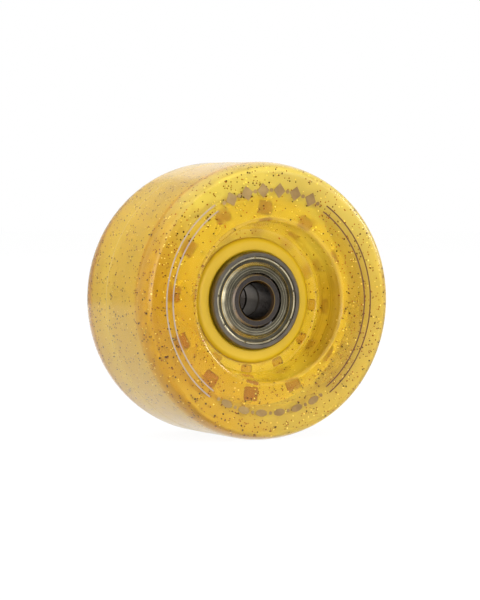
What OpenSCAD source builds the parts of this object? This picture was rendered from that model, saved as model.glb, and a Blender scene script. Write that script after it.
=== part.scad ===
// Roller skate wheel: a clear urethane tyre cast round a plastic core, which holds two
// shielded ball bearings and the spacer between them.
// The wheel centre is the origin and the axle runs along Y, with the front face towards -Y.

/* [Tyre] */
// Diameter over the tread
tyre_d = 62; // [58:0.5:70]
// Width over the two side faces
tyre_w = 33; // [30:0.5:40]
// Width of the turned flat of the tread
tread_w = 23.4; // [19:0.2:25]
// Radius of the crowned shoulder on each side of the tread
shoulder_r = 12; // [8:0.5:13]
// Angle of the crease where the tread meets the shoulder, in degrees
crease_angle = 3; // [1:0.1:6]
// Rounding from the shoulder into the side face
corner_r = 1.8; // [0.6:0.1:2]

/* [Recess] */
// Diameter of the recess where its wall meets the side face
recess_d = 35.8; // [34:0.2:42]
// Draft of the recess wall, in degrees
recess_draft = 11; // [2:0.5:14]
// Rounding of the recess rim
recess_rim_r = 1.2; // [0.4:0.1:2]
// Fillet between the recess floor and its wall
recess_fillet_r = 0.7; // [0.5:0.1:2]
// Step from the core's boss face down to the recess floor
floor_step = 0.5; // [0.2:0.1:1.5]
// Urethane over the core's flange at the recess floor
floor_skin = 1; // [0.6:0.1:2]

/* [Core] */
// Wall of the core's boss outside the bearing seat
boss_wall = 3.2; // [2.4:0.1:3.6]
// Rounding of the boss rim
boss_rim_r = 1.2; // [0.3:0.1:1.4]
// Height of the bearing's face above the boss face
bearing_proud = 1.5; // [0.5:0.1:2.5]
// Height of the ledge that stops the bearing in its seat
seat_ledge = 2; // [1.2:0.1:2.6]
// Chamfer at the mouth of the bearing seat
seat_chamfer = 0.4; // [0.2:0.1:0.8]
// Thickness of each flange
flange_t = 5; // [3:0.1:6]
// Number of window pairs in each flange
window_count = 12; // [8:1:14]
// Angle of the first window pair, in degrees
window_start = -5; // [-15:1:15]
// Turn of the rear flange's windows from the front ones, as a share of their pitch
window_stagger = 0.5; // [0.4:0.05:0.6]
// Land between the boss and the inner windows
inner_land = 0.3; // [0.2:0.1:0.8]
// Radial height of an inner window
inner_window_h = 2.2; // [1.6:0.1:2.8]
// Width of an inner window
inner_window_w = 2.7; // [1.8:0.1:4]
// Land between the inner and the outer windows
middle_land = 2.6; // [1.6:0.1:3]
// Radial height of an outer window
outer_window_h = 3.2; // [2:0.1:4]
// Width of an outer window
outer_window_w = 3.7; // [2.4:0.1:5]
// Rim of the flange outside the outer windows
flange_rim = 0.8; // [0.6:0.1:2]
// Corner rounding of the windows
window_corner_r = 0.6; // [0.2:0.1:0.75]

/* [Bearing] */
// Bore of the bearing
bearing_bore = 8; // [7:0.1:9]
// Outer diameter of the bearing
bearing_od = 22; // [21.6:0.1:23]
// Width of the bearing
bearing_w = 7; // [6.8:0.1:8]
// Chamfer of the outer ring's outer edges
ring_chamfer = 0.3; // [0.1:0.05:0.5]
// Chamfer of the inner ring's bore edges
bore_chamfer = 0.5; // [0.2:0.05:0.6]
// Wall of the inner ring beside the groove
inner_ring_wall = 2.03; // [1.9:0.01:2.2]
// Wall of the outer ring beside the groove
outer_ring_wall = 2; // [1.8:0.01:2.2]
// Chamfer on the shoulder edge of the inner ring
inner_ring_edge = 0.4; // [0.2:0.05:0.6]
// Diameter of a ball
ball_d = 3.969; // [3.6:0.001:4.2]
// Number of balls
ball_count = 7; // [5:1:7]
// Thickness of the pressed cage
cage_t = 0.3; // [0.2:0.05:0.35]
// Width of the cage ribbon
cage_w = 1.5; // [1.2:0.1:1.8]
// Diameter of a cage rivet
rivet_d = 0.6; // [0.4:0.05:0.8]
// Diameter of a rivet head
rivet_head_d = 1; // [0.9:0.05:1.2]
// Height of a rivet head
rivet_head_h = 0.25; // [0.15:0.05:0.35]

/* [Shield] */
// Thickness of the shield
shield_t = 0.28; // [0.2:0.02:0.3]
// Depth of the shield's seat in the outer ring's face
shield_seat_depth = 0.95; // [0.8:0.05:1]
// Wall of the outer ring round the shield's seat
shield_seat_wall = 1.05; // [0.8:0.05:1.2]
// Depth of the shield's flat below the bearing face
shield_flat_depth = 0.12; // [0.05:0.01:0.2]
// Width of the groove pressed round the shield, outside its flat
shield_groove_w = 1.35; // [1.2:0.05:1.5]
// Width of the slope from the shield's flat into its groove
shield_slope_w = 0.75; // [0.2:0.05:0.8]
// Radius of the crimped bead at the shield's edge
shield_bead_r = 0.28; // [0.2:0.02:0.3]
// Number of notches in the crimped bead
notch_count = 9; // [6:1:12]
// Angle of the first notch, in degrees
notch_start = 12.4; // [-20:0.1:20]
// Width of a notch
notch_w = 0.5; // [0.3:0.05:0.8]

/* [Spacer] */
// Length of the spacer between the two inner rings
spacer_len = 6; // [4:0.1:8]
// Outer diameter of the spacer
spacer_od = 10.4; // [10:0.1:11]
// Chamfer of the spacer's edges
spacer_chamfer = 0.3; // [0.1:0.05:0.4]

/* [Clearances] */
// Gap between the urethane and the core it is cast on
bond_gap = 0.02; // [0.01:0.01:0.05]
// Radial gap of the bearing in its seat
seat_gap = 0.02; // [0.01:0.01:0.05]
// Gap between a ball and its groove
race_gap = 0.07; // [0.05:0.01:0.1]
// Gap between a ball and its cage pocket
pocket_gap = 0.08; // [0.05:0.01:0.12]
// Gap between the shield's bore and the inner ring
shield_gap = 0.27; // [0.15:0.01:0.4]
// Radial gap of the shield in its seat
shield_seat_gap = 0.05; // [0.02:0.01:0.08]
// Radial gap of a rivet in the cage
rivet_gap = 0.02; // [0.01:0.01:0.05]

/* [Hidden] */
$fn = 96;
front = 1;
rear = -1;

// Cutters run this far past the faces they open
overcut = 1;

// Axle stack, measured from the wheel centre towards the front
stack_z = spacer_len / 2 + bearing_w;
bearing_z = spacer_len / 2 + bearing_w / 2;
boss_z = stack_z - bearing_proud;
floor_z = boss_z - floor_step;
flange_z = floor_z - floor_skin - flange_t;

// Tyre section
tyre_r = tyre_d / 2;
side_z = tyre_w / 2;
shoulder_c = [tyre_r - shoulder_r * cos(crease_angle), tread_w / 2 - shoulder_r * sin(crease_angle)];
corner_z = side_z - corner_r;
corner_run = corner_z - shoulder_c[1];
corner_reach = shoulder_r - corner_r;
corner_c = [shoulder_c[0] + sqrt(corner_reach * corner_reach - corner_run * corner_run), corner_z];
corner_angle = asin(corner_run / corner_reach);

// Recess wall, from its floor up to the side face
recess_r = recess_d / 2;
wall_normal = [-cos(recess_draft), sin(recess_draft)];
rim_c = [recess_r + recess_rim_r * (1 - sin(recess_draft)) / cos(recess_draft), side_z - recess_rim_r];
fillet_c = [wall_r(floor_z + recess_fillet_r) - recess_fillet_r / cos(recess_draft), floor_z + recess_fillet_r];
fillet_tangent = fillet_c - recess_fillet_r * wall_normal;

// Core
seat_r = bearing_od / 2 + seat_gap;
ledge_r = bearing_od / 2 - seat_ledge;
boss_r = bearing_od / 2 + boss_wall;
inner_window_r = boss_r + inner_land + inner_window_h / 2;
outer_window_r = inner_window_r + inner_window_h / 2 + middle_land + outer_window_h / 2;
flange_r = outer_window_r + outer_window_h / 2 + flange_rim;
window_pitch = 360 / window_count;

// Bearing
pitch_r = (bearing_bore + bearing_od) / 4;
ball_r = ball_d / 2;
groove_r = ball_r + race_gap;
inner_land_r = bearing_bore / 2 + inner_ring_wall;
outer_land_r = bearing_od / 2 - outer_ring_wall;
pocket_r = ball_r + pocket_gap;
ball_pitch = 360 / ball_count;
shield_seat_r = bearing_od / 2 - shield_seat_wall;
shield_r = shield_seat_r - shield_seat_gap;
shield_floor_z = bearing_w / 2 - shield_seat_depth;
shield_flat_z = bearing_w / 2 - shield_flat_depth - shield_t;
shield_groove_r = shield_r - shield_groove_w;

// Radius of the recess wall at a height above the wheel's middle plane
function wall_r(z) = recess_r - (side_z - z) * tan(recess_draft);

function upside_down(points) = [for (i = [len(points) - 1 : -1 : 0]) [points[i][0], -points[i][1]]];

// Turns a piece drawn round Z onto the axle, with its top towards the front
module on_axle() {
    rotate([90, 0, 0]) children();
}

// Seats a piece drawn round a bearing's own centre, with its top towards the outside
module in_bearing(side) {
    on_axle() rotate([0, side == front ? 0 : 180, 0]) translate([0, 0, bearing_z]) children();
}

// Turns a piece of a bearing over, to its inner side
module to_inner_side() {
    rotate([180, 0, 0]) children();
}

module each_ball() {
    for (i = [1 : ball_count]) at_ball(i) children();
}

module at_ball(i) {
    rotate([0, 0, (i - 1) * ball_pitch]) translate([pitch_r, 0, 0]) children();
}

module each_rivet() {
    for (i = [1 : ball_count]) rotate([0, 0, (i - 0.5) * ball_pitch]) translate([pitch_r, 0, 0]) children();
}

module rounded_rectangle(w, h, r) {
    square([w, h - 2 * r], center = true);
    square([w - 2 * r, h], center = true);
    for (x = [-1, 1], y = [-1, 1]) translate([x * (w / 2 - r), y * (h / 2 - r)]) circle(r = r);
}

module tube(r_out, r_in, h) {
    difference() {
        cylinder(r = r_out, h = h, center = true);
        cylinder(r = r_in, h = h + 2 * overcut, center = true);
    }
}

// Cuts the square corner of the section back to the crowned shoulder
module shoulder_cut() {
    difference() {
        polygon([
            [tyre_r, tread_w / 2],
            [tyre_r + overcut, tread_w / 2],
            [tyre_r + overcut, side_z + overcut],
            [corner_c[0], side_z + overcut],
            corner_c
        ]);
        translate(shoulder_c) circle(r = shoulder_r);
    }
}

// Cuts the end of the shoulder back to the rounding into the side face
module corner_cut() {
    reach = corner_reach / cos(corner_angle);
    difference() {
        polygon([
            corner_c,
            corner_c + reach * [cos(corner_angle), sin(corner_angle)],
            [corner_c[0], side_z + reach]
        ]);
        translate(corner_c) circle(r = corner_r);
    }
}

// Cuts the edge between the recess wall and the side face back to its rounding
module rim_cut() {
    difference() {
        polygon([
            rim_c,
            rim_c + 2 * recess_rim_r * wall_normal,
            [recess_r - recess_rim_r, side_z + recess_rim_r],
            [rim_c[0], side_z + recess_rim_r]
        ]);
        translate(rim_c) circle(r = recess_rim_r);
    }
}

module tyre_section() {
    half = [
        [boss_r + bond_gap, floor_z],
        [fillet_c[0], floor_z],
        fillet_tangent,
        [recess_r, side_z],
        [tyre_r, side_z]
    ];
    difference() {
        polygon(concat(half, upside_down(half)));
        for (s = [0, 1]) mirror([0, s]) {
            shoulder_cut();
            corner_cut();
            rim_cut();
            translate(fillet_c) circle(r = recess_fillet_r);
        }
    }
}

// One row of windows, as cutters right through a flange
module window_row(row_r, w, h, inset) {
    for (i = [0 : window_count - 1])
        rotate([0, 0, i * window_pitch])
            translate([row_r, 0, flange_z - overcut])
                linear_extrude(height = flange_t + 2 * overcut)
                    rounded_rectangle(h - 2 * inset, w - 2 * inset, window_corner_r);
}

// One flange with its two rows of windows, grown on every side by the bond gap where the urethane is cut
module flange(grow) {
    difference() {
        translate([0, 0, flange_z - grow]) cylinder(r = flange_r + grow, h = flange_t + 2 * grow);
        window_row(inner_window_r, inner_window_w, inner_window_h, grow);
        window_row(outer_window_r, outer_window_w, outer_window_h, grow);
    }
}

// Both flanges, the rear one turned so that no window lines up right through the core
module flanges(grow) {
    rotate([0, 0, window_start]) flange(grow);
    rotate([0, 0, window_start + window_stagger * window_pitch]) mirror([0, 0, 1]) flange(grow);
}

module boss_section() {
    rim_r = boss_r - boss_rim_r;
    rim_z = boss_z - boss_rim_r;
    translate([0, -boss_z]) square([rim_r, 2 * boss_z]);
    translate([0, -rim_z]) square([boss_r, 2 * rim_z]);
    for (s = [-1, 1]) translate([rim_r, s * rim_z]) circle(r = boss_rim_r);
}

module bearing_seat() {
    translate([0, 0, spacer_len / 2]) cylinder(r = seat_r, h = bearing_w);
    translate([0, 0, boss_z - seat_chamfer])
        cylinder(r1 = seat_r, r2 = seat_r + seat_chamfer + overcut, h = seat_chamfer + overcut);
}

module tyre() {
    color("goldenrod", 0.75) on_axle() difference() {
        rotate_extrude() tyre_section();
        flanges(bond_gap);
    }
}

module core() {
    color("gold") on_axle() difference() {
        union() {
            rotate_extrude() boss_section();
            flanges(0);
        }
        for (s = [0, 1]) mirror([0, 0, s]) bearing_seat();
        cylinder(r = ledge_r, h = 2 * side_z, center = true);
    }
}

module bearing_spacer() {
    half = spacer_len / 2;
    bore_r = bearing_bore / 2;
    edge = [
        [bore_r, half - spacer_chamfer],
        [bore_r + spacer_chamfer, half],
        [spacer_od / 2 - spacer_chamfer, half],
        [spacer_od / 2, half - spacer_chamfer]
    ];
    color("dimgray") on_axle() rotate_extrude() polygon(concat(edge, upside_down(edge)));
}

// The groove that the balls run in
module race_groove() {
    rotate_extrude() translate([pitch_r, 0]) circle(r = groove_r);
}

module outer_ring(side) {
    half = bearing_w / 2;
    edge = [
        [outer_land_r, shield_floor_z],
        [shield_seat_r, shield_floor_z],
        [shield_seat_r, half],
        [bearing_od / 2 - ring_chamfer, half],
        [bearing_od / 2, half - ring_chamfer]
    ];
    color("slategray") in_bearing(side) difference() {
        rotate_extrude() polygon(concat(edge, upside_down(edge)));
        race_groove();
    }
}

module inner_ring(side) {
    half = bearing_w / 2;
    edge = [
        [bearing_bore / 2, half - bore_chamfer],
        [bearing_bore / 2 + bore_chamfer, half],
        [inner_land_r - inner_ring_edge, half],
        [inner_land_r, half - inner_ring_edge]
    ];
    color("lightslategray") in_bearing(side) difference() {
        rotate_extrude() polygon(concat(edge, upside_down(edge)));
        race_groove();
    }
}

// Pressed disc: a flat round the inner ring, a slope, a groove, and a crimped bead at the edge
module shield_section() {
    bore_r = inner_land_r + shield_gap;
    flat_r = shield_groove_r - shield_slope_w;
    bead_c = [shield_r - shield_bead_r, shield_floor_z + 2 * shield_bead_r];
    polygon([
        [bore_r, shield_flat_z],
        [flat_r, shield_flat_z],
        [shield_groove_r, shield_floor_z],
        [shield_r, shield_floor_z],
        [shield_r, bead_c[1]],
        [shield_r - 2 * shield_bead_r, bead_c[1]],
        [shield_r - 2 * shield_bead_r, shield_floor_z + shield_t],
        [shield_groove_r, shield_floor_z + shield_t],
        [flat_r, shield_flat_z + shield_t],
        [bore_r, shield_flat_z + shield_t]
    ]);
    translate(bead_c) circle(r = shield_bead_r);
}

module shield() {
    color("darkkhaki") difference() {
        rotate_extrude() shield_section();
        for (i = [0 : notch_count - 1])
            rotate([0, 0, notch_start + i * 360 / notch_count])
                translate([shield_r, 0, shield_floor_z + shield_t + bearing_w / 2])
                    cube([4 * shield_bead_r, notch_w, bearing_w], center = true);
    }
}

module outer_shield(side) {
    in_bearing(side) shield();
}

module inner_shield(side) {
    in_bearing(side) to_inner_side() shield();
}

// Half of the pressed cage: flat lands between the balls and a spherical pocket over each ball
module cage_half() {
    dome_r = pocket_r + cage_t;
    color("silver") difference() {
        intersection() {
            union() {
                translate([0, 0, cage_t / 2]) tube(pitch_r + cage_w / 2, pitch_r - cage_w / 2, cage_t);
                each_ball() sphere(r = dome_r);
            }
            tube(pitch_r + cage_w / 2, pitch_r - cage_w / 2, 2 * bearing_w);
            translate([0, 0, bearing_w / 2]) cylinder(r = bearing_od, h = bearing_w, center = true);
        }
        each_ball() sphere(r = pocket_r);
        each_rivet() cylinder(r = rivet_d / 2 + rivet_gap, h = 2 * bearing_w, center = true);
    }
}

module cage_outer(side) {
    in_bearing(side) cage_half();
}

module cage_inner(side) {
    in_bearing(side) mirror([0, 0, 1]) cage_half();
}

// Rivets through the cage's lands, headed on both sides
module cage_rivets(side) {
    head_z = cage_t + rivet_head_h / 2;
    color("lightgray") in_bearing(side) each_rivet() {
        cylinder(d = rivet_d, h = 2 * cage_t + rivet_head_h, center = true);
        for (s = [-1, 1]) translate([0, 0, s * head_z])
            cylinder(d = rivet_head_d, h = rivet_head_h, center = true);
    }
}

module ball(side, i) {
    color("whitesmoke") in_bearing(side) at_ball(i) sphere(r = ball_r);
}

tyre();
core();
bearing_spacer();

for (side = [front, rear]) {
    name = side == front ? "front_" : "rear_";
    outer_ring(side);
    inner_ring(side);
    outer_shield(side);
    inner_shield(side);
    cage_outer(side);
    cage_inner(side);
    cage_rivets(side);
    for (i = [1 : ball_count]) ball(side, i);
}
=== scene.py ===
"""Looks of a roller skate wheel: glitter urethane cast round a moulded core, with two shielded bearings."""
import math
import random

import bpy
from mathutils import Matrix, Vector


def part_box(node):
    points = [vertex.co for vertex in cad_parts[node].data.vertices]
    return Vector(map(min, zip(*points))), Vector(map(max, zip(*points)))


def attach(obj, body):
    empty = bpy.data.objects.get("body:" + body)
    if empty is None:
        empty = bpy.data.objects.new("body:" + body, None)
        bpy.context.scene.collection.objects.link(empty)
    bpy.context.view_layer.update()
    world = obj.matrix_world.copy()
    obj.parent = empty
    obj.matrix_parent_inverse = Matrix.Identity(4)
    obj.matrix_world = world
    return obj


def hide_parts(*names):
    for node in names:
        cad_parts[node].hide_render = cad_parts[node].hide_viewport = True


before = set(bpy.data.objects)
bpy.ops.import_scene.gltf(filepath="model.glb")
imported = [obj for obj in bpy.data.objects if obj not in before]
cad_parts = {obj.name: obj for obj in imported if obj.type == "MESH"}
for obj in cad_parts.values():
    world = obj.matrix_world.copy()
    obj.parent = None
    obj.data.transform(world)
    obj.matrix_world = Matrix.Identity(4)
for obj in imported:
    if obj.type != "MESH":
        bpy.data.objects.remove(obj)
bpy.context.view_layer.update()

MM = 0.001
AXLE = Vector((0, 1, 0))

# Sizes read from the frame
TYRE_LOW, TYRE_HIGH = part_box("tyre")
TYRE_R = TYRE_HIGH.z
FACE_Y = TYRE_HIGH.y
TYRE_BOTTOM = TYRE_LOW.z
FLANGE_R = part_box("core")[1].z

# Sizes of the cast tyre's section
TREAD_HALF = 11.7 * MM
SHOULDER_R = 12.0 * MM
CREASE = math.radians(3)
CORNER_R = 1.8 * MM
RECESS_R = 17.9 * MM
RECESS_DRAFT = math.radians(11)
RIM_R = 1.2 * MM
FILLET_R = 0.7 * MM
RECESS_FLOOR_Y = 8.0 * MM
BORE_R = 14.1 * MM
TURN_STEPS = 224
MERGE_GAP = 0.0005 * MM

# Centres of the section's round stretches, each a radius and a height along the axle
SHOULDER_CENTRE = (TYRE_R - SHOULDER_R * math.cos(CREASE), TREAD_HALF - SHOULDER_R * math.sin(CREASE))
CORNER_Y = FACE_Y - CORNER_R
CORNER_TURN = math.asin((CORNER_Y - SHOULDER_CENTRE[1]) / (SHOULDER_R - CORNER_R))
CORNER_CENTRE = (SHOULDER_CENTRE[0] + (SHOULDER_R - CORNER_R) * math.cos(CORNER_TURN), CORNER_Y)
RIM_SET = RIM_R * (1 - math.sin(RECESS_DRAFT)) / math.cos(RECESS_DRAFT)
RIM_CENTRE = (RECESS_R + RIM_SET, FACE_Y - RIM_R)

# Radius past which lie only the tread and the shoulders
OUTSIDE_R = 0.9 * TYRE_R

# Directions across the wheel, seen from the front, along which painted light and shade change
RIGHT = (1, 0, 0)
UP = (0, 0, 1)
UPPER_RIGHT = (0.9, 0, 0.42)
LOWER_LEFT = (-0.75, 0, -0.66)
LEFT = (-0.93, 0, -0.37)

# Side of the recess wall that is painted darkest, as painted shade over its turning marks
SHADED_WALL_SIDE = (0.97, 0, -0.24)

# Side on which painted shade of deepest amber lies along the tread's crease
SHADED_CREASE_SIDE = (-0.6, 0, 0.8)

# Fine mould seam round the tread
SEAM_Y = 3.1 * MM
SEAM_W = 0.15 * MM
SEAM_H = 0.02 * MM

# Depth under the tyre's surface at which its haze starts
HAZE_DEPTH = 0.9 * MM

# Optics of the urethane: how it bends light, and the colour and density of its depth
URETHANE_IOR = 1.49
URETHANE_STAIN = (0.965, 0.865, 0.06, 1)
URETHANE_DENSITY = 55.0
# Painted shade of deep amber that the haze takes at the left and the lower left
AMBER_SHADE = (0.74, 0.42, 0.012)

# Sizes of the core's flanges, which the glitter stays clear of
FLANGE_INNER_Y = 2.0 * MM
FLANGE_OUTER_Y = 7.0 * MM
BOSS_R = 14.2 * MM

# Windows in the core's flanges, which the urethane fills: radius, height and width of each row
WINDOW_PITCH = 30
WINDOW_START = {"front": -5, "rear": 10}
WINDOW_ROWS = {
    "inner": (15.6 * MM, 2.2 * MM, 2.7 * MM),
    "outer": (FLANGE_R - 2.4 * MM, 3.2 * MM, 3.7 * MM),
}
PLUG_CLEAR = 0.06 * MM
PLUG_EDGE_R = 0.45 * MM

# Glitter cast into the urethane, and the share of it that stays in each place
GLITTER_SEED = 62
GLITTER_CLEAR = 0.22 * MM
WALL_CLEAR = 1.5 * GLITTER_CLEAR
DEEP_SHARE = 0.06
RECESS_SHARE = 0.45
TREAD_SHARE = 0.65
CORE_SHARE = 0.7
CORE_LEAN = 0.3
FLAKE_T = 0.08 * MM
FLAKE_RIM = 0.08 * MM
FLAKE_TILT = math.radians(30)
GLITTER = {
    # painted shade: flakes of the glitter turned away from the light, drawn near black
    "glitter_shaded_dark": {
        "count": 2300, "sizes": (0.28 * MM, 0.46 * MM), "metallic": 0.0, "gloss": 0.55,
        "tints": ((0.022, 0.005, 0.001), (0.070, 0.017, 0.002)),
    },
    "glitter_amber": {
        "count": 5200, "sizes": (0.22 * MM, 0.38 * MM), "metallic": 0.1, "gloss": 0.40,
        "tints": ((0.16, 0.035, 0.002), (0.36, 0.095, 0.004)),
    },
    "glitter_gold": {
        "count": 1950, "sizes": (0.24 * MM, 0.40 * MM), "metallic": 0.2, "gloss": 0.35,
        "tints": ((1.0, 0.84, 0.22), (1.0, 0.93, 0.48)),
    },
}

# Printed lines and ornament on the front face, with angles in degrees from +X towards +Z
INK_T = 0.03 * MM
INK_RIM = 0.04 * MM
LINE_W = 0.30 * MM
LINE_RADII = (25.45 * MM, 23.90 * MM)
LEFT_ARC = (122.7, 233.9)
RIGHT_ARC = (-54.0, 56.3)
LINE_STEPS = 90
ORNAMENT_R = 24.7 * MM
TOP_MIDDLE = (LEFT_ARC[0] + RIGHT_ARC[1]) / 2
TOP_PITCH = 9.4
BOTTOM_MIDDLE = (LEFT_ARC[1] + RIGHT_ARC[0]) / 2 + 180
BOTTOM_PITCH = 10.4

# The picture's frame and the camera's place
PHOTO_W, PHOTO_H = 480, 600
VIEW_AZIMUTH = math.radians(-27.1)
VIEW_ELEVATION = math.radians(2.38)
VIEW_DISTANCE = 0.600
WHEEL_PIXEL = (236.65, 299.05)
PIXELS_PER_METRE = 4408.0
SENSOR = 36.0

# Floor, which the mould seam just touches
FLOOR_R = 3.0
FLOOR_RIM = 0.2
FLOOR_GLOW = 0.94

# Grey cards: the direction of each from the wheel, and its tone
CARD_SIZE = 0.5
CARD_CORNER = 0.12
CARD_DISTANCE = 0.5
CARDS = {
    "flag_front": ((0.455, -0.89, 0), 0.165),
    "flag_back": ((-0.24, 0.89, 0.20), 0.28),
}

# Lamps: place, size in metres, power in watts, and whether polished surfaces mirror them
SKY_LIGHT = 0.95
LAMPS = {
    "key": ((-0.50, -0.85, 0.42), 1.3, 8.5, False),
    "top": ((-0.30, 0.05, 0.90), 0.8, 2.0, False),
    "fill": ((-0.30, -0.85, 0.02), 0.4, 3.0, False),
    "right_fill": ((0.60, -0.70, 0.20), 0.5, 2.9, False),
    "rear": ((0.10, 0.60, 0.85), 1.0, 7.0, False),
    "left_panel": ((-0.64, -0.62, 0.02), 0.5, 0.7, True),
    "side": ((0.75, -0.35, 0.25), 0.35, 2.0, True),
}


# Shader maths

class Value:
    """One output socket. Arithmetic on it adds Math nodes to its finish."""

    def __init__(self, finish, socket):
        self.finish = finish
        self.socket = socket

    def math(self, operation, *values):
        """A Math node of that operation on these values."""
        return self.finish.node("Math", {"operation": operation}, dict(enumerate(values)))

    def most(self, other):
        """The larger of this value and another."""
        return self.math("MAXIMUM", self, other)

    def __abs__(self):
        return self.math("ABSOLUTE", self)

    def __add__(self, other):
        return self.math("ADD", self, other)

    def __radd__(self, other):
        return self.math("ADD", other, self)

    def __sub__(self, other):
        return self.math("SUBTRACT", self, other)

    def __rsub__(self, other):
        return self.math("SUBTRACT", other, self)

    def __mul__(self, other):
        return self.math("MULTIPLY", self, other)

    def __rmul__(self, other):
        return self.math("MULTIPLY", other, self)

    def __truediv__(self, other):
        return self.math("DIVIDE", self, other)

    def __rtruediv__(self, other):
        return self.math("DIVIDE", other, self)

    def __pow__(self, other):
        return self.math("POWER", self, other)

    def __rpow__(self, other):
        return self.math("POWER", other, self)

    def __gt__(self, other):
        return self.math("GREATER_THAN", self, other)

    def __lt__(self, other):
        return self.math("LESS_THAN", self, other)


class Finish:
    """A node tree that is built from its nodes' types, settings and socket values."""

    def __init__(self, name, world=None):
        owner = world or bpy.data.materials.new(name)
        owner.use_nodes = True
        self.owner = owner
        self.tree = owner.node_tree
        self.tree.nodes.clear()

    def node(self, kind, settings=None, sockets=None, output=0):
        """Adds a ShaderNode of that kind and gives one of its outputs."""
        made = self.tree.nodes.new("ShaderNode" + kind)
        for key, setting in (settings or {}).items():
            if key == "stops":
                self.set_stops(made.color_ramp, setting)
            else:
                setattr(made, key, setting)
        for key, value in (sockets or {}).items():
            if isinstance(value, Value):
                self.tree.links.new(value.socket, made.inputs[key])
            else:
                made.inputs[key].default_value = value
        return Value(self, made.outputs[output]) if len(made.outputs) else None

    @staticmethod
    def set_stops(ramp, stops):
        """A colour ramp's stops, each a place and a colour."""
        while len(ramp.elements) < len(stops):
            ramp.elements.new(1.0)
        for element, (place, colour) in zip(ramp.elements, stops):
            element.position = place
            element.color = (*colour, 1)

    def place(self):
        """Object coordinates as a vector."""
        return self.node("TexCoord", output="Object")

    def round_axle(self, vector):
        """A place's height along the axle, and its distance from the axle."""
        x, along, z = [self.node("SeparateXYZ", sockets={0: vector}, output=i) for i in range(3)]
        return along, (x * x + z * z) ** 0.5

    def across(self, vector, direction, low, high, out_low=0.0, out_high=1.0):
        """How far a place lies that way from the wheel's centre, from low to high, as between gives it."""
        settings = {"operation": "DOT_PRODUCT"}
        reach = self.node("VectorMath", settings, {0: vector, 1: direction}, output="Value")
        return self.between(reach, low, high, out_low, out_high)

    def noise(self, vector, scale, detail=2.0):
        """Noise from 0 to 1 at that many cells in a metre."""
        return self.node("TexNoise", sockets={"Vector": vector, "Scale": scale, "Detail": detail})

    def rings(self, distance, scale, detail=3.0):
        """Noise that changes with one distance only, as turning marks do."""
        settings = {"noise_dimensions": "1D"}
        sockets = {"W": distance * scale, "Scale": 1.0, "Detail": detail, "Roughness": 0.6}
        return self.node("TexNoise", settings, sockets)

    def between(self, value, low, high, out_low=0.0, out_high=1.0):
        """value's place from low to high, clamped, as a number from out_low to out_high."""
        sockets = {0: value, 1: low, 2: high, 3: out_low, 4: out_high}
        return self.node("MapRange", {"clamp": True}, sockets)

    def blend(self, share, first, second, how="MIX"):
        """A colour from first at share 0 to second mixed in that way at share 1."""
        settings = {"data_type": "RGBA", "blend_type": how}
        sockets = {0: share, 6: colour_of(first), 7: colour_of(second)}
        return self.node("Mix", settings, sockets, output=2)

    def bump(self, height, strength, depth):
        """A normal from a height between 0 and 1 that stands for that depth in metres."""
        sockets = {"Height": height, "Strength": strength, "Distance": depth}
        return self.node("Bump", sockets=sockets)

    def surface(self, sockets, volume=None):
        """Ends the tree in a Principled shader and, for clear stuff, a volume."""
        ends = {"Surface": self.node("BsdfPrincipled", sockets=sockets)}
        if volume is not None:
            ends["Volume"] = volume
        self.node("OutputMaterial", sockets=ends)
        return self.owner


def colour_of(colour):
    """A plain colour with its alpha, or a link as it is."""
    return colour if isinstance(colour, Value) else (*colour, 1)


def grey(tone):
    """A neutral tint of that tone."""
    return tone, tone, tone


# Finishes of the tyre and the core

def urethane():
    """Clear golden urethane: polished faces, a finely ground tread and turning marks on the recess wall,
    with painted shade on one side of that wall and along the tread's crease, and painted light that pales
    it in the recess.
    """
    finish = Finish("urethane_clear_gold")
    vector = finish.place()
    along, distance = finish.round_axle(vector)
    height = abs(along)
    on_tread = (distance > OUTSIDE_R) * (height < TREAD_HALF)
    on_corner = (height > CORNER_Y) * (distance > CORNER_CENTRE[0])
    in_recess = (distance < RECESS_R) * (height > RECESS_FLOOR_Y + 1 * MM)
    # painted shade: the recess wall darkens towards one side
    wall_shade = in_recess * finish.across(vector, SHADED_WALL_SIDE, 11 * MM, 15.5 * MM)
    # painted shade: a dark amber line along the crease between tread and shoulder, deepest towards the
    # upper left, where refraction darkens it
    off_crease = abs(height - TREAD_HALF - 0.6 * MM)
    at_crease = finish.between(off_crease, 0.9 * MM, 0.2 * MM) * (distance > OUTSIDE_R)
    amber = at_crease * finish.across(vector, SHADED_CREASE_SIDE, 6 * MM, 26 * MM, 0.15, 0.85)
    cloud = finish.noise(vector, 260)
    turned = finish.rings(height, 2600, detail=2)
    ground = finish.noise(vector, 5200)
    tint = finish.blend(cloud, (1.0, 0.92, 0.38), (1.0, 0.89, 0.30))
    # painted light: the urethane's tint paler in the recess, to lift the recess's shade
    tint = finish.blend(distance < RECESS_R, tint, (1.0, 0.94, 0.46))
    tint = finish.blend(on_tread, tint, (0.96, 0.81, 0.15))
    tint = finish.blend(amber, tint, (0.78, 0.44, 0.04))
    # turning marks, drawn dark and light where the wall is painted in shade
    lines = finish.blend(turned, (0.40, 0.28, 0.05), (0.92, 0.76, 0.36))
    depth = {"Color": URETHANE_STAIN, "Density": URETHANE_DENSITY}
    return finish.surface({
        "Base Color": finish.blend(wall_shade, tint, lines),
        "Roughness": 0.09 + cloud * 0.05 + on_tread * 0.07 + on_corner * 0.06,
        "IOR": URETHANE_IOR,
        "Transmission Weight": 1.0,
        "Normal": finish.bump(turned * in_recess + ground * on_tread * 0.25, 0.5, 0.02 * MM),
    }, finish.node("VolumeAbsorption", sockets=depth))


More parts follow.
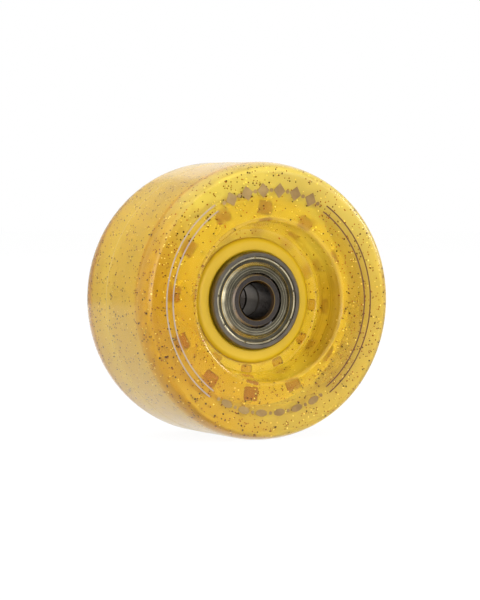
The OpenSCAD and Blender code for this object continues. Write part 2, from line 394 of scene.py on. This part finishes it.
def haze():
    """Faint milky cloud in the urethane: thin over the core and paler at the rim, painted lighter towards
    the top, the upper right and the top of the recess, painted shade of deep amber at the left and lower
    left and on one side of the recess wall, and a painted glow in the recess and at the right of the face.
    """
    finish = Finish("urethane_haze")
    vector = finish.place()
    along, distance = finish.round_axle(vector)
    height = abs(along)
    cloud = finish.noise(vector, 140, detail=3)
    over_core = finish.between(distance, FLANGE_R + 2.5 * MM, FLANGE_R - 0.5 * MM)
    inside_shoulders = finish.between(height, TREAD_HALF + 1.5 * MM, TREAD_HALF - 0.5 * MM)
    on_tread = inside_shoulders * (distance > OUTSIDE_R)
    in_recess = finish.between(distance, RECESS_R + 0.9 * MM, RECESS_R + 0.3 * MM)
    on_wall = in_recess * finish.between(height, RECESS_FLOOR_Y - 0.3 * MM, RECESS_FLOOR_Y + 0.5 * MM)
    # painted shade: on one side of the recess wall the haze grows thicker and loses its painted glow
    wall_shade = on_wall * finish.across(vector, SHADED_WALL_SIDE, 4 * MM, 12 * MM)
    # painted shade: deep amber haze at the lower left and along the left rim
    low_left_shade = finish.across(vector, LOWER_LEFT, 8 * MM, 20 * MM, 0.0, 0.75)
    left_rim_shade = finish.across(vector, LEFT, 8 * MM, 23 * MM, 0.0, 0.65)
    # painted light: the haze paler towards the top and the upper right, where the light falls
    top = finish.across(vector, UP, 2 * MM, 22 * MM, 0.0, 0.40)
    tone = finish.across(vector, UPPER_RIGHT, -22 * MM, -8 * MM, 0.12, 0.72) + top - cloud * 0.1
    rim = finish.blend(tone, (0.94, 0.61, 0.04), (1.0, 0.90, 0.42))
    rim = finish.blend(left_rim_shade, rim, AMBER_SHADE)
    middle = finish.blend(tone, (0.97, 0.62, 0.040), (1.0, 0.85, 0.20))
    middle = finish.blend(low_left_shade, middle, AMBER_SHADE)
    # painted light: the recess's haze paler towards its top
    recess = finish.blend(top * 2.5, (1.0, 0.83, 0.16), (1.0, 0.93, 0.36))
    middle = finish.blend(in_recess, middle, recess)
    tread = finish.blend(cloud, (0.93, 0.74, 0.15), (0.88, 0.68, 0.12))
    milky = finish.between(cloud, 0.3, 0.7, 0.53, 0.59) + on_tread * 0.21 + left_rim_shade * 0.12 + wall_shade * 0.34
    clear = over_core * 0.21 + in_recess * (0.05 - top * 0.5)
    # painted glow: the haze emits warm light in the recess and at the right of the face, which no lamp
    # gives
    right_face = over_core * (1 - in_recess) * finish.across(vector, UPPER_RIGHT, 8 * MM, 18 * MM)
    glow = in_recess * (1 - wall_shade) * (0.56 + top * 1.1) + right_face * 0.36
    return finish.surface({
        "Base Color": finish.blend(on_tread, finish.blend(over_core, rim, middle), tread),
        "Roughness": 0.9,
        "Specular IOR Level": 0.0,
        "Alpha": milky - clear,
        "Emission Color": finish.blend(glow, grey(0), (1.0, 0.68, 0.10)),
        "Emission Strength": 0.2,
    })


def plug_finish():
    """Urethane in the core's windows, with painted shade of deep orange between their walls, darker still
    in the outer row.
    """
    finish = Finish("urethane_plug")
    vector = finish.place()
    _, distance = finish.round_axle(vector)
    cloud = finish.noise(vector, 500, detail=3)
    inner = finish.blend(cloud, (0.95, 0.53, 0.040), (0.82, 0.42, 0.025))
    # painted shade: the plugs in the outer row darker still
    outer = finish.blend(cloud, (0.58, 0.115, 0.006), (0.46, 0.080, 0.004))
    return finish.surface({
        "Base Color": finish.blend(distance > RECESS_R, inner, outer),
        "Roughness": 0.85,
        "Specular IOR Level": 0.0,
        "Alpha": finish.between(cloud, 0.3, 0.7, 0.78, 0.9),
    })


def seam_finish():
    """Pale urethane of the thin seam that the mould leaves."""
    finish = Finish("urethane_seam")
    cloud = finish.noise(finish.place(), 200)
    return finish.surface({
        "Base Color": finish.blend(cloud, (0.64, 0.48, 0.12), (0.55, 0.40, 0.09)),
        "Roughness": 0.45,
    })


def flake_finish(name, tints, metallic, gloss):
    """Glitter whose colour changes a little from flake to flake."""
    finish = Finish(name)
    tone = finish.noise(finish.place(), 900, detail=1)
    share = finish.between(tone, 0.35, 0.65)
    return finish.surface({
        "Base Color": finish.blend(share, *tints),
        "Metallic": metallic,
        "Roughness": gloss + share * 0.1,
        "Specular IOR Level": 0.1,
    })


def ink(name, light, dark):
    """Thin metallic ink that lies a little unevenly, with painted shade that darkens it to the right."""
    finish = Finish(name)
    vector = finish.place()
    patch = finish.noise(vector, 500, detail=4)
    grain = finish.noise(vector, 6000)
    shade_to_right = finish.across(vector, RIGHT, -14 * MM, 14 * MM, 0.25, -0.25)
    return finish.surface({
        "Base Color": finish.blend(patch + shade_to_right, dark, light),
        "Metallic": 0.55,
        "Roughness": 0.32 + grain * 0.2,
        "Normal": finish.bump(grain, 0.3, 0.01 * MM),
    })


def moulded_core():
    """Opaque yellow plastic with a soft moulded gloss, with painted light that brightens it under the
    urethane, painted shade that darkens it where it is bare in the recess, and painted shade of warm orange
    in its windows.
    """
    finish = Finish("moulded_yellow")
    vector = finish.place()
    along, distance = finish.round_axle(vector)
    cloud = finish.noise(vector, 180)
    grain = finish.noise(vector, 4200)
    marks = finish.rings(distance, 3000)
    tone = cloud * 0.7 + marks * 0.3
    # painted light and shade: one plastic, drawn dark where it is bare in the recess's shade, bright where
    # the urethane covers it, and deep orange in the shade of its windows
    bare = finish.blend(tone, (0.47, 0.31, 0.008), (0.42, 0.265, 0.006))
    flange = finish.blend(tone, (1.0, 0.80, 0.060), (1.0, 0.74, 0.045))
    window = finish.blend(tone, (1.0, 0.68, 0.055), (1.0, 0.60, 0.045))
    sunk = (abs(along) < FLANGE_OUTER_Y - 0.15 * MM) * (distance < FLANGE_R - 0.3 * MM)
    covered = finish.blend(sunk, flange, window)
    return finish.surface({
        "Base Color": finish.blend(distance > BOSS_R, bare, covered),
        "Roughness": 0.30 + grain * 0.12,
        "Normal": finish.bump(grain * 0.5 + marks * 0.5, 0.3, 0.01 * MM),
    })


# Finishes of the bearings and the spacer

def turned_steel(name, bright, dark, gloss, mark_scale=5200, bands=None):
    """Steel with concentric turning marks, a little stained, with bands of painted highlight, reflection
    and shade round the axle.
    """
    finish = Finish(name)
    vector = finish.place()
    along, distance = finish.round_axle(vector)
    marks = finish.rings(distance + along * 0.7, mark_scale)
    stain = finish.noise(vector, 420, detail=4)
    scratch = finish.noise(vector, 2600, detail=3)
    colour = finish.blend(finish.between(marks * 0.6 + stain * 0.4, 0.3, 0.7), dark, bright)
    if bands:
        reach = bands[-1][0]
        stops = [(radius / reach, tint) for radius, tint in bands]
        tints = finish.node("ValToRGB", {"stops": stops}, {0: distance / (reach * MM)})
        colour = finish.blend(1.0, colour, tints, "MULTIPLY")
    return finish.surface({
        "Base Color": colour,
        "Metallic": 1.0,
        "Roughness": gloss + scratch * 0.15,
        "Normal": finish.bump(marks, 0.4, 0.012 * MM),
    })


# Tints of the shield and of the inner ring at radii in millimetres: painted highlights on crests and
# chamfers, painted reflection of the yellow core in gold, and painted shade in grooves and in the bore
GOLD_REFLECTION = (1.0, 0.74, 0.26)
BORE_SHADE = (0.10, 0.072, 0.046)
SHIELD_SHEEN_BANDS = (
    (6.30, grey(1.0)), (6.42, grey(0.28)), (6.85, grey(0.35)), (6.98, grey(0.95)), (7.10, grey(0.22)),
    (7.42, grey(0.40)), (7.55, grey(0.95)), (7.65, grey(0.28)), (7.78, grey(0.40)), (8.00, grey(0.45)),
    (8.16, grey(1.0)), (8.45, grey(1.0)), (8.56, GOLD_REFLECTION), (8.68, grey(0.22)), (9.26, grey(0.28)),
    (9.40, grey(1.0)), (9.90, grey(1.0)),
)
RING_SHEEN_BANDS = (
    (4.02, BORE_SHADE), (4.42, BORE_SHADE), (4.50, GOLD_REFLECTION), (4.60, grey(0.28)), (5.55, grey(0.26)),
    (5.66, grey(1.0)), (6.03, grey(1.0)),
)

# Steel of each kind of node, by the word that its name holds
STEELS = {
    # painted shade: the outer ring's steel is drawn darker than bare steel, for the dark surroundings that
    # it mirrors
    "outer_ring": {"bright": (0.28, 0.25, 0.21), "dark": (0.16, 0.14, 0.115), "gloss": 0.26},
    "inner_ring": {
        "bright": (0.42, 0.37, 0.34), "dark": (0.28, 0.24, 0.22), "gloss": 0.22,
        "bands": RING_SHEEN_BANDS,
    },
    "shield": {
        "bright": (0.80, 0.73, 0.53), "dark": (0.20, 0.165, 0.095), "gloss": 0.13,
        "mark_scale": 3400, "bands": SHIELD_SHEEN_BANDS,
    },
    "cage": {"bright": (0.52, 0.48, 0.40), "dark": (0.36, 0.33, 0.27), "gloss": 0.22},
    "ball": {
        "bright": (0.62, 0.62, 0.64), "dark": (0.52, 0.52, 0.54), "gloss": 0.06,
        "mark_scale": 1500,
    },
    "spacer": {
        "bright": (0.135, 0.115, 0.090), "dark": (0.085, 0.070, 0.055), "gloss": 0.34,
        "mark_scale": 3800,
    },
}


def dress_cad_nodes():
    """Gives each node of the frame its finish: steel of its kind, or the core's plastic."""
    steels = {kind: turned_steel(kind + "_steel", **looks) for kind, looks in STEELS.items()}
    plastic = moulded_core()
    for name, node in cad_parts.items():
        kind = next((kind for kind in steels if kind in name), None)
        node.data.materials.clear()
        node.data.materials.append(steels.get(kind, plastic))


# Modelling

def new_start(name):
    """A single selected vertex at the origin, in edit mode, in a new piece of that name."""
    bpy.ops.object.select_all(action="DESELECT")
    bpy.ops.mesh.primitive_plane_add(size=1 * MM)
    piece = bpy.context.object
    piece.name = name
    piece.data.name = name
    bpy.ops.object.mode_set(mode="EDIT")
    bpy.ops.mesh.select_all(action="SELECT")
    bpy.ops.mesh.merge(type="CENTER")
    return piece


def draw_section(name, outline, angle=0.0):
    """A closed section in the plane that holds the axle, at that angle from +X towards +Z."""
    piece = new_start(name)
    radial = Vector((math.cos(angle), 0, math.sin(angle)))
    corners = [radial * radius + AXLE * along for radius, along in outline]
    bpy.ops.transform.translate(value=corners[0])
    for here, there in zip(corners, corners[1:] + corners[:1]):
        bpy.ops.mesh.extrude_vertices_move(TRANSFORM_OT_translate={"value": there - here})
    bpy.ops.mesh.select_all(action="SELECT")
    bpy.ops.mesh.remove_doubles(threshold=MERGE_GAP)
    return piece


def turn_section(piece, sweep=2 * math.pi, steps=TURN_STEPS):
    """Spins the section round the axle, from +X towards +Z, and closes the ends of an arc."""
    bpy.ops.mesh.select_all(action="SELECT")
    bpy.ops.mesh.spin(steps=steps, angle=sweep, center=(0, 0, 0), axis=AXLE)
    bpy.ops.mesh.select_all(action="SELECT")
    bpy.ops.mesh.remove_doubles(threshold=MERGE_GAP)
    bpy.ops.mesh.fill_holes(sides=0)
    face_outwards()
    return piece


def face_outwards():
    """Turns the faces of the piece in edit mode outwards, and ends edit mode."""
    bpy.ops.mesh.select_all(action="SELECT")
    bpy.ops.mesh.normals_make_consistent(inside=False)
    bpy.ops.object.mode_set(mode="OBJECT")


def smooth(piece, angle=28):
    """Smooth faces, with edges sharper than that angle left crisp."""
    bpy.ops.object.select_all(action="DESELECT")
    piece.select_set(True)
    bpy.context.view_layer.objects.active = piece
    bpy.ops.object.shade_smooth_by_angle(angle=math.radians(angle))


def arc(centre, radius, start, end, steps):
    """Points on an arc round centre, from one angle to another, in radians."""
    angles = [start + (end - start) * i / steps for i in range(steps + 1)]
    return [(centre[0] + radius * math.cos(a), centre[1] + radius * math.sin(a)) for a in angles]


def copies_round_axle(name, model, angles):
    """Copies of a model on the +X side, turned by angles in degrees towards +Z, as one piece."""
    copies = []
    for angle in angles:
        copy = model.copy()
        copy.data = model.data.copy()
        copy.data.transform(Matrix.Rotation(math.radians(-angle), 4, "Y"))
        bpy.context.scene.collection.objects.link(copy)
        copies.append(copy)
    bpy.data.objects.remove(model)
    bpy.ops.object.select_all(action="DESELECT")
    for copy in copies:
        copy.select_set(True)
    bpy.context.view_layer.objects.active = copies[0]
    bpy.ops.object.join()
    copies[0].name = name
    copies[0].data.name = name
    return copies[0]


def dress(piece, finish, body="wheel"):
    """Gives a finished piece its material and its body."""
    piece.data.materials.clear()
    piece.data.materials.append(finish)
    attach(piece, body)
    return piece


# Tyre

def recess_wall_radius(along):
    """Radius of the recess's drafted wall at that height along the axle."""
    return RECESS_R - (FACE_Y - along) * math.tan(RECESS_DRAFT)


def fillet_centre():
    """Centre of the fillet between the recess's wall and its floor."""
    along = RECESS_FLOOR_Y + FILLET_R
    return recess_wall_radius(along) - FILLET_R / math.cos(RECESS_DRAFT), along


def half_section(depth):
    """One side of the tyre's section at a depth under its surface, from the tread round to the bore."""
    turn = math.pi / 2
    points = [(TYRE_R - depth, TREAD_HALF / 2)]
    points += arc(SHOULDER_CENTRE, SHOULDER_R - depth, CREASE, CORNER_TURN, 14)
    points += arc(CORNER_CENTRE, CORNER_R - depth, CORNER_TURN, turn, 8)[1:]
    points += arc(RIM_CENTRE, RIM_R - depth, turn, math.pi - RECESS_DRAFT, 10)
    points += arc(fillet_centre(), FILLET_R + depth, -RECESS_DRAFT, -turn, 8)
    points += [(BORE_R, RECESS_FLOOR_Y - depth)]
    return points


def turned_ring(name, depth, finish):
    """The tyre's form at a depth under its surface, as one turned ring round the core."""
    half = half_section(depth)
    other = [(radius, -along) for radius, along in reversed(half)]
    ring = turn_section(draw_section(name, half + other))
    smooth(ring)
    return dress(ring, finish)


def cast_tyre():
    """The clear urethane, and the haze that starts a little way under its surface."""
    tyre = turned_ring("cast_tyre", 0, urethane())
    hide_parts("tyre")
    turned_ring("tyre_haze", HAZE_DEPTH, haze())


def mould_seam():
    """The fine seam round the tread, a little proud of it."""
    inner, outer = TYRE_R - SEAM_H, TYRE_R + SEAM_H
    back, front = SEAM_Y + SEAM_W / 2, SEAM_Y - SEAM_W / 2
    section = [(inner, back), (inner, front), (outer, front), (outer, back)]
    seam = turn_section(draw_section("mould_seam", section))
    dress(seam, seam_finish())


def model_plug(tall, across):
    """One rounded block of urethane, a little smaller than the window that it fills."""
    bpy.ops.object.select_all(action="DESELECT")
    bpy.ops.mesh.primitive_cube_add(size=1 * MM)
    plug = bpy.context.object
    bpy.ops.object.mode_set(mode="EDIT")
    bpy.ops.mesh.select_all(action="SELECT")
    deep = FLANGE_OUTER_Y - FLANGE_INNER_Y
    sides = Vector((tall, deep, across)) - Vector((2, 2, 2)) * PLUG_CLEAR
    bpy.ops.transform.resize(value=sides / MM)
    bpy.ops.mesh.bevel(offset=PLUG_EDGE_R, segments=3)
    face_outwards()
    return plug


def fill_windows(finish):
    """The urethane in each row of windows, front and rear, one piece to a row."""
    middle_y = (FLANGE_INNER_Y + FLANGE_OUTER_Y) / 2
    for row, (radius, tall, across) in WINDOW_ROWS.items():
        for side, along in (("front", -middle_y), ("rear", middle_y)):
            plug = model_plug(tall, across)
            plug.data.transform(Matrix.Translation((radius, along, 0)))
            angles = range(WINDOW_START[side], WINDOW_START[side] + 360, WINDOW_PITCH)
            filled = copies_round_axle(f"plugs_{row}_{side}", plug, angles)
            smooth(filled, 40)
            dress(filled, finish)


# Glitter

def outer_radius(along):
    """Radius of the tyre's outside at that height along the axle."""
    if along <= TREAD_HALF:
        return TYRE_R
    centre, radius = SHOULDER_CENTRE, SHOULDER_R
    if along > CORNER_Y + CORNER_R * math.sin(CORNER_TURN):
        centre, radius = CORNER_CENTRE, CORNER_R
    rise = min(along - centre[1], radius)
    return centre[0] + math.sqrt(radius ** 2 - rise ** 2)


def nearest_surface(radius, along):
    """The nearest of the tyre's surfaces to a place (flat, tread or wall), and the depth under it."""
    along = abs(along)
    if radius < recess_wall_radius(RECESS_FLOOR_Y):
        return "flat", RECESS_FLOOR_Y - along
    depths = {"flat": FACE_Y - along, "tread": outer_radius(along) - radius}
    if along > RECESS_FLOOR_Y:
        depths["wall"] = radius - recess_wall_radius(along)
    nearest = min(depths, key=depths.get)
    return nearest, depths[nearest]


def share_kept(radius, along, angle):
    """Share of the flakes that stay at a place: few deep down, some in the recess, on tread and core."""
    nearest, depth = nearest_surface(radius, along)
    if depth > HAZE_DEPTH:
        return DEEP_SHARE
    if nearest == "wall" or radius < recess_wall_radius(RECESS_FLOOR_Y):
        return RECESS_SHARE
    if nearest == "tread" and abs(along) < TREAD_HALF:
        return TREAD_SHARE
    if nearest == "flat" and radius < FLANGE_R:
        return CORE_SHARE + CORE_LEAN * math.cos(angle)
    return 1


def in_urethane(radius, along):
    """Whether a flake there lies in the urethane, clear of its surfaces and of the core."""
    along = abs(along)
    if along > FACE_Y - GLITTER_CLEAR or radius > outer_radius(along) - WALL_CLEAR:
        return False
    if along > RECESS_FLOOR_Y - GLITTER_CLEAR and radius < recess_wall_radius(along) + WALL_CLEAR:
        return False
    if along > RIM_CENTRE[1] and radius < RIM_CENTRE[0]:
        return False
    if radius < BOSS_R + GLITTER_CLEAR:
        return False
    in_flange = FLANGE_INNER_Y - GLITTER_CLEAR < along < FLANGE_OUTER_Y + GLITTER_CLEAR
    return not (in_flange and radius < FLANGE_R + GLITTER_CLEAR)


def model_flake():
    """One thin six-sided flake with a stepped rim, a millimetre across."""
    bpy.ops.object.select_all(action="DESELECT")
    bpy.ops.mesh.primitive_circle_add(vertices=6, radius=0.5 * MM, fill_type="NGON")
    flake = bpy.context.object
    bpy.ops.object.mode_set(mode="EDIT")
    bpy.ops.mesh.select_all(action="SELECT")
    bpy.ops.mesh.extrude_region_move(TRANSFORM_OT_translate={"value": (0, 0, FLAKE_T)})
    bpy.ops.mesh.inset(thickness=FLAKE_RIM, depth=FLAKE_T / 2)
    face_outwards()
    return flake


def settled_turn(draw, radius, along, angle):
    """The turn of a flake that settled nearly flat against the nearest of the tyre's surfaces."""
    normal = Vector((math.cos(angle), 0, math.sin(angle)))
    if nearest_surface(radius, along)[0] == "flat":
        normal = AXLE
    flat = normal.to_track_quat("Z", "Y").to_matrix().to_4x4()
    spin = Matrix.Rotation(draw.uniform(0, 2 * math.pi), 4, "Z")
    tilt = Matrix.Rotation(draw.gauss(0, FLAKE_TILT), 4, "X")
    return flat @ spin @ tilt


def flake_places(count, sizes, draw):
    """Random places, turns and sizes of that many flakes in the urethane."""
    places = []
    while len(places) < count:
        along = draw.uniform(-FACE_Y, FACE_Y)
        radius = math.sqrt(draw.uniform(BOSS_R ** 2, TYRE_R ** 2))
        angle = draw.uniform(0, 2 * math.pi)
        if not in_urethane(radius, along):
            continue
        if draw.random() > share_kept(radius, along, angle):
            continue
        spot = Vector((radius * math.cos(angle), along, radius * math.sin(angle)))
        across = draw.uniform(*sizes) / MM
        turn = settled_turn(draw, radius, along, angle)
        places.append(Matrix.Translation(spot) @ turn @ Matrix.Diagonal((across, across, 1, 1)))
    return places


def scatter_glitter(name, flake, places, finish):
    """Copies of the flake at these places, joined into one piece."""
    corners, faces = [], []
    for place in places:
        first = len(corners)
        corners += [place @ vertex.co for vertex in flake.data.vertices]
        faces += [[first + i for i in face.vertices] for face in flake.data.polygons]
    mesh = bpy.data.meshes.new(name)
    mesh.from_pydata(corners, [], faces)
    piece = bpy.data.objects.new(name, mesh)
    bpy.context.scene.collection.objects.link(piece)
    dress(piece, finish)


def glitter():
    """Dark, amber and gold flakes through the whole casting; the dark flakes are painted shade of glitter
    turned from the light.
    """
    draw = random.Random(GLITTER_SEED)
    flake = model_flake()
    for name, looks in GLITTER.items():
        finish = flake_finish(name, looks["tints"], looks["metallic"], looks["gloss"])
        scatter_glitter(name, flake, flake_places(looks["count"], looks["sizes"], draw), finish)
    bpy.data.objects.remove(flake)


# Print on the face

def ring_line(name, radius, start, end, finish):
    """One printed arc on the front face, from one angle to another in degrees."""
    low, high = radius - LINE_W / 2, radius + LINE_W / 2
    back, front = -FACE_Y + INK_T / 3, -FACE_Y - INK_T
    first = math.radians(start)
    section = draw_section(name, [(low, back), (high, back), (high, front), (low, front)], first)
    dress(turn_section(section, math.radians(end) - first, LINE_STEPS), finish)


def ring_lines():
    """The double ring, broken at the top and the bottom, in one ink painted as a lit copy at the left and a
    shaded copy at the right.
    """
    # painted light and shade: the same ink, light where lit at the left, dark where shaded at the right
    lit_ink = ink("ink_lit_side", (0.40, 0.33, 0.26), (0.30, 0.24, 0.19))
    shaded_ink = ink("ink_shaded_side", (0.17, 0.075, 0.045), (0.10, 0.045, 0.03))
    for side, ends, finish in (("left", LEFT_ARC, lit_ink), ("right", RIGHT_ARC, shaded_ink)):
        for place, radius in zip(("outer", "inner"), LINE_RADII):
            ring_line(f"ring_line_{place}_{side}", radius, *ends, finish)


def model_mark(points, across, tall):
    """One flat printed mark at the middle of the face, with its rim drawn in a little."""
    bpy.ops.object.select_all(action="DESELECT")
    bpy.ops.mesh.primitive_circle_add(vertices=points, radius=0.5 * MM, fill_type="NGON")
    mark = bpy.context.object
    bpy.ops.object.mode_set(mode="EDIT")
    bpy.ops.mesh.select_all(action="SELECT")
    bpy.ops.transform.resize(value=(across / MM, tall / MM, 1))
    bpy.ops.mesh.extrude_region_move(TRANSFORM_OT_translate={"value": (0, 0, INK_T)})
    bpy.ops.mesh.inset(thickness=INK_RIM, depth=INK_T / 3)
    face_outwards()
    mark.data.transform(Matrix.Translation((0, -FACE_Y, 0)) @ Matrix.Rotation(math.pi / 2, 4, "X"))
    return mark


def row_of_marks(name, mark, angles, finish):
    """Copies of a mark along the ornament's circle, each turned with the circle, as one piece."""
    mark.data.transform(Matrix.Rotation(math.pi / 2, 4, "Y") @ Matrix.Translation((0, 0, ORNAMENT_R)))
    dress(copies_round_axle(name, mark, angles), finish)


def spread(middle, pitch, count):
    """Angles in degrees, evenly spaced to both sides of the middle."""
    return [middle + (i - (count - 1) / 2) * pitch for i in range(count)]


def face_ornament():
    """Plain lozenges and dots in the gap at the top, and ovals and dots in the gap at the bottom."""
    bronze = ink("ink_bronze", (0.40, 0.27, 0.10), (0.17, 0.095, 0.032))
    lozenge = model_mark(4, 3.0 * MM, 3.4 * MM)
    row_of_marks("ornament_lozenges", lozenge, spread(TOP_MIDDLE, TOP_PITCH, 6), bronze)
    dot = model_mark(18, 0.9 * MM, 0.9 * MM)
    row_of_marks("ornament_dots", dot, spread(TOP_MIDDLE, TOP_PITCH, 7), bronze)
    oval = model_mark(24, 2.8 * MM, 1.6 * MM)
    row_of_marks("ornament_ovals", oval, spread(BOTTOM_MIDDLE, BOTTOM_PITCH, 6), bronze)
    pip = model_mark(18, 0.8 * MM, 0.8 * MM)
    row_of_marks("ornament_pips", pip, spread(BOTTOM_MIDDLE, BOTTOM_PITCH, 7), bronze)


# Stage, light and camera

def seen_directly(finish):
    """1 for rays that show the background: straight from the camera, off metal or through clear stuff."""
    camera = finish.node("LightPath", output="Is Camera Ray")
    glossy = finish.node("LightPath", output="Is Glossy Ray")
    through = finish.node("LightPath", output="Is Transmission Ray")
    return camera.most(glossy).most(through)


def paper_white():
    """Matt white floor that stays white in the picture and keeps the shadow."""
    finish = Finish("paper_white")
    fibre = finish.noise(finish.place(), 900)
    matt = finish.node("BsdfPrincipled", sockets={
        "Base Color": finish.blend(fibre, grey(0.90), grey(0.93)),
        "Diffuse Roughness": 0.5,
        "Specular IOR Level": 0.0,
    })
    glow = finish.node("Emission", sockets={"Color": (1, 1, 1, 1), "Strength": 1.0})
    mixed = finish.node("MixShader", sockets={0: seen_directly(finish) * FLOOR_GLOW, 1: matt, 2: glow})
    finish.node("OutputMaterial", sockets={"Surface": mixed})
    return finish.owner


def make_floor():
    """A wide round floor under the wheel."""
    bpy.ops.object.select_all(action="DESELECT")
    bpy.ops.mesh.primitive_circle_add(vertices=96, radius=FLOOR_R, fill_type="NGON")
    ground = bpy.context.object
    ground.name = "floor"
    bpy.ops.object.mode_set(mode="EDIT")
    bpy.ops.mesh.select_all(action="SELECT")
    bpy.ops.transform.translate(value=(0, 0, TYRE_BOTTOM - SEAM_H))
    bpy.ops.mesh.inset(thickness=FLOOR_RIM)
    bpy.ops.object.mode_set(mode="OBJECT")
    ground.data.materials.append(paper_white())


def felt(name, tone):
    """Dull grey cloth of that tone, for the cards that shade the wheel."""
    finish = Finish(name)
    nap = finish.noise(finish.place(), 300)
    return finish.surface({
        "Base Color": finish.blend(nap, grey(tone * 0.85), grey(tone * 1.15)),
        "Roughness": 0.95,
    })


def make_card(name, direction, tone):
    """A grey card off in that direction, which only polished surfaces mirror."""
    bpy.ops.object.select_all(action="DESELECT")
    bpy.ops.mesh.primitive_plane_add(size=CARD_SIZE)
    card = bpy.context.object
    card.name = name
    bpy.ops.object.mode_set(mode="EDIT")
    bpy.ops.mesh.select_all(action="SELECT")
    bpy.ops.mesh.bevel(affect="VERTICES", offset=CARD_CORNER, segments=6)
    bpy.ops.object.mode_set(mode="OBJECT")
    outward = Vector(direction).normalized()
    turn = outward.to_track_quat("Z", "Y").to_matrix().to_4x4()
    card.data.transform(Matrix.Translation(outward * CARD_DISTANCE) @ turn)
    card.data.materials.append(felt("felt_" + name, tone))
    for ray in ("camera", "diffuse", "transmission", "shadow"):
        setattr(card, "visible_" + ray, False)


def make_world():
    """White all round: full white where it is seen, softer where it lights."""
    world = bpy.data.worlds.new("studio")
    bpy.context.scene.world = world
    finish = Finish("studio", world)
    strength = SKY_LIGHT + seen_directly(finish) * (1 - SKY_LIGHT)
    sky = finish.node("Background", sockets={"Color": (1, 1, 1, 1), "Strength": strength})
    finish.node("OutputWorld", sockets={"Surface": sky})


def soft_lamp(name, place, size, power, mirrored):
    """A round lamp at that place, turned to the wheel, which polished surfaces mirror or not."""
    lamp = bpy.data.lights.new(name, "AREA")
    lamp.shape = "DISK"
    lamp.size = size
    lamp.energy = power
    holder = bpy.data.objects.new(name, lamp)
    bpy.context.scene.collection.objects.link(holder)
    holder.location = place
    holder.rotation_euler = Vector(place).to_track_quat("Z", "Y").to_euler()
    holder.visible_glossy = mirrored


def make_camera():
    """The camera at the photograph's angle, with the wheel's centre at its pixel."""
    across = Vector((math.cos(VIEW_AZIMUTH), math.sin(VIEW_AZIMUTH), 0))
    outward = Vector((math.sin(VIEW_AZIMUTH), -math.cos(VIEW_AZIMUTH), 0))
    back = outward * math.cos(VIEW_ELEVATION) + Vector(UP) * math.sin(VIEW_ELEVATION)
    upward = back.cross(across)
    right_by = (WHEEL_PIXEL[0] - PHOTO_W / 2) / PIXELS_PER_METRE
    up_by = (PHOTO_H / 2 - WHEEL_PIXEL[1]) / PIXELS_PER_METRE
    data = bpy.data.cameras.new("camera")
    data.sensor_width = SENSOR
    data.lens = PIXELS_PER_METRE * VIEW_DISTANCE * SENSOR / PHOTO_H
    data.clip_start = 0.01
    camera = bpy.data.objects.new("camera", data)
    bpy.context.scene.collection.objects.link(camera)
    camera.location = back * VIEW_DISTANCE - across * right_by - upward * up_by
    camera.rotation_euler = back.to_track_quat("Z", "Y").to_euler()
    bpy.context.scene.camera = camera


make_camera()
make_floor()
for card_name, (card_direction, card_tone) in CARDS.items():
    make_card(card_name, card_direction, card_tone)
make_world()
for lamp_name, lamp_settings in LAMPS.items():
    soft_lamp(lamp_name, *lamp_settings)
bpy.context.scene.view_settings.view_transform = "Standard"

dress_cad_nodes()
cast_tyre()
mould_seam()
fill_windows(plug_finish())
glitter()
ring_lines()
face_ornament()

bpy.context.view_layer.update()
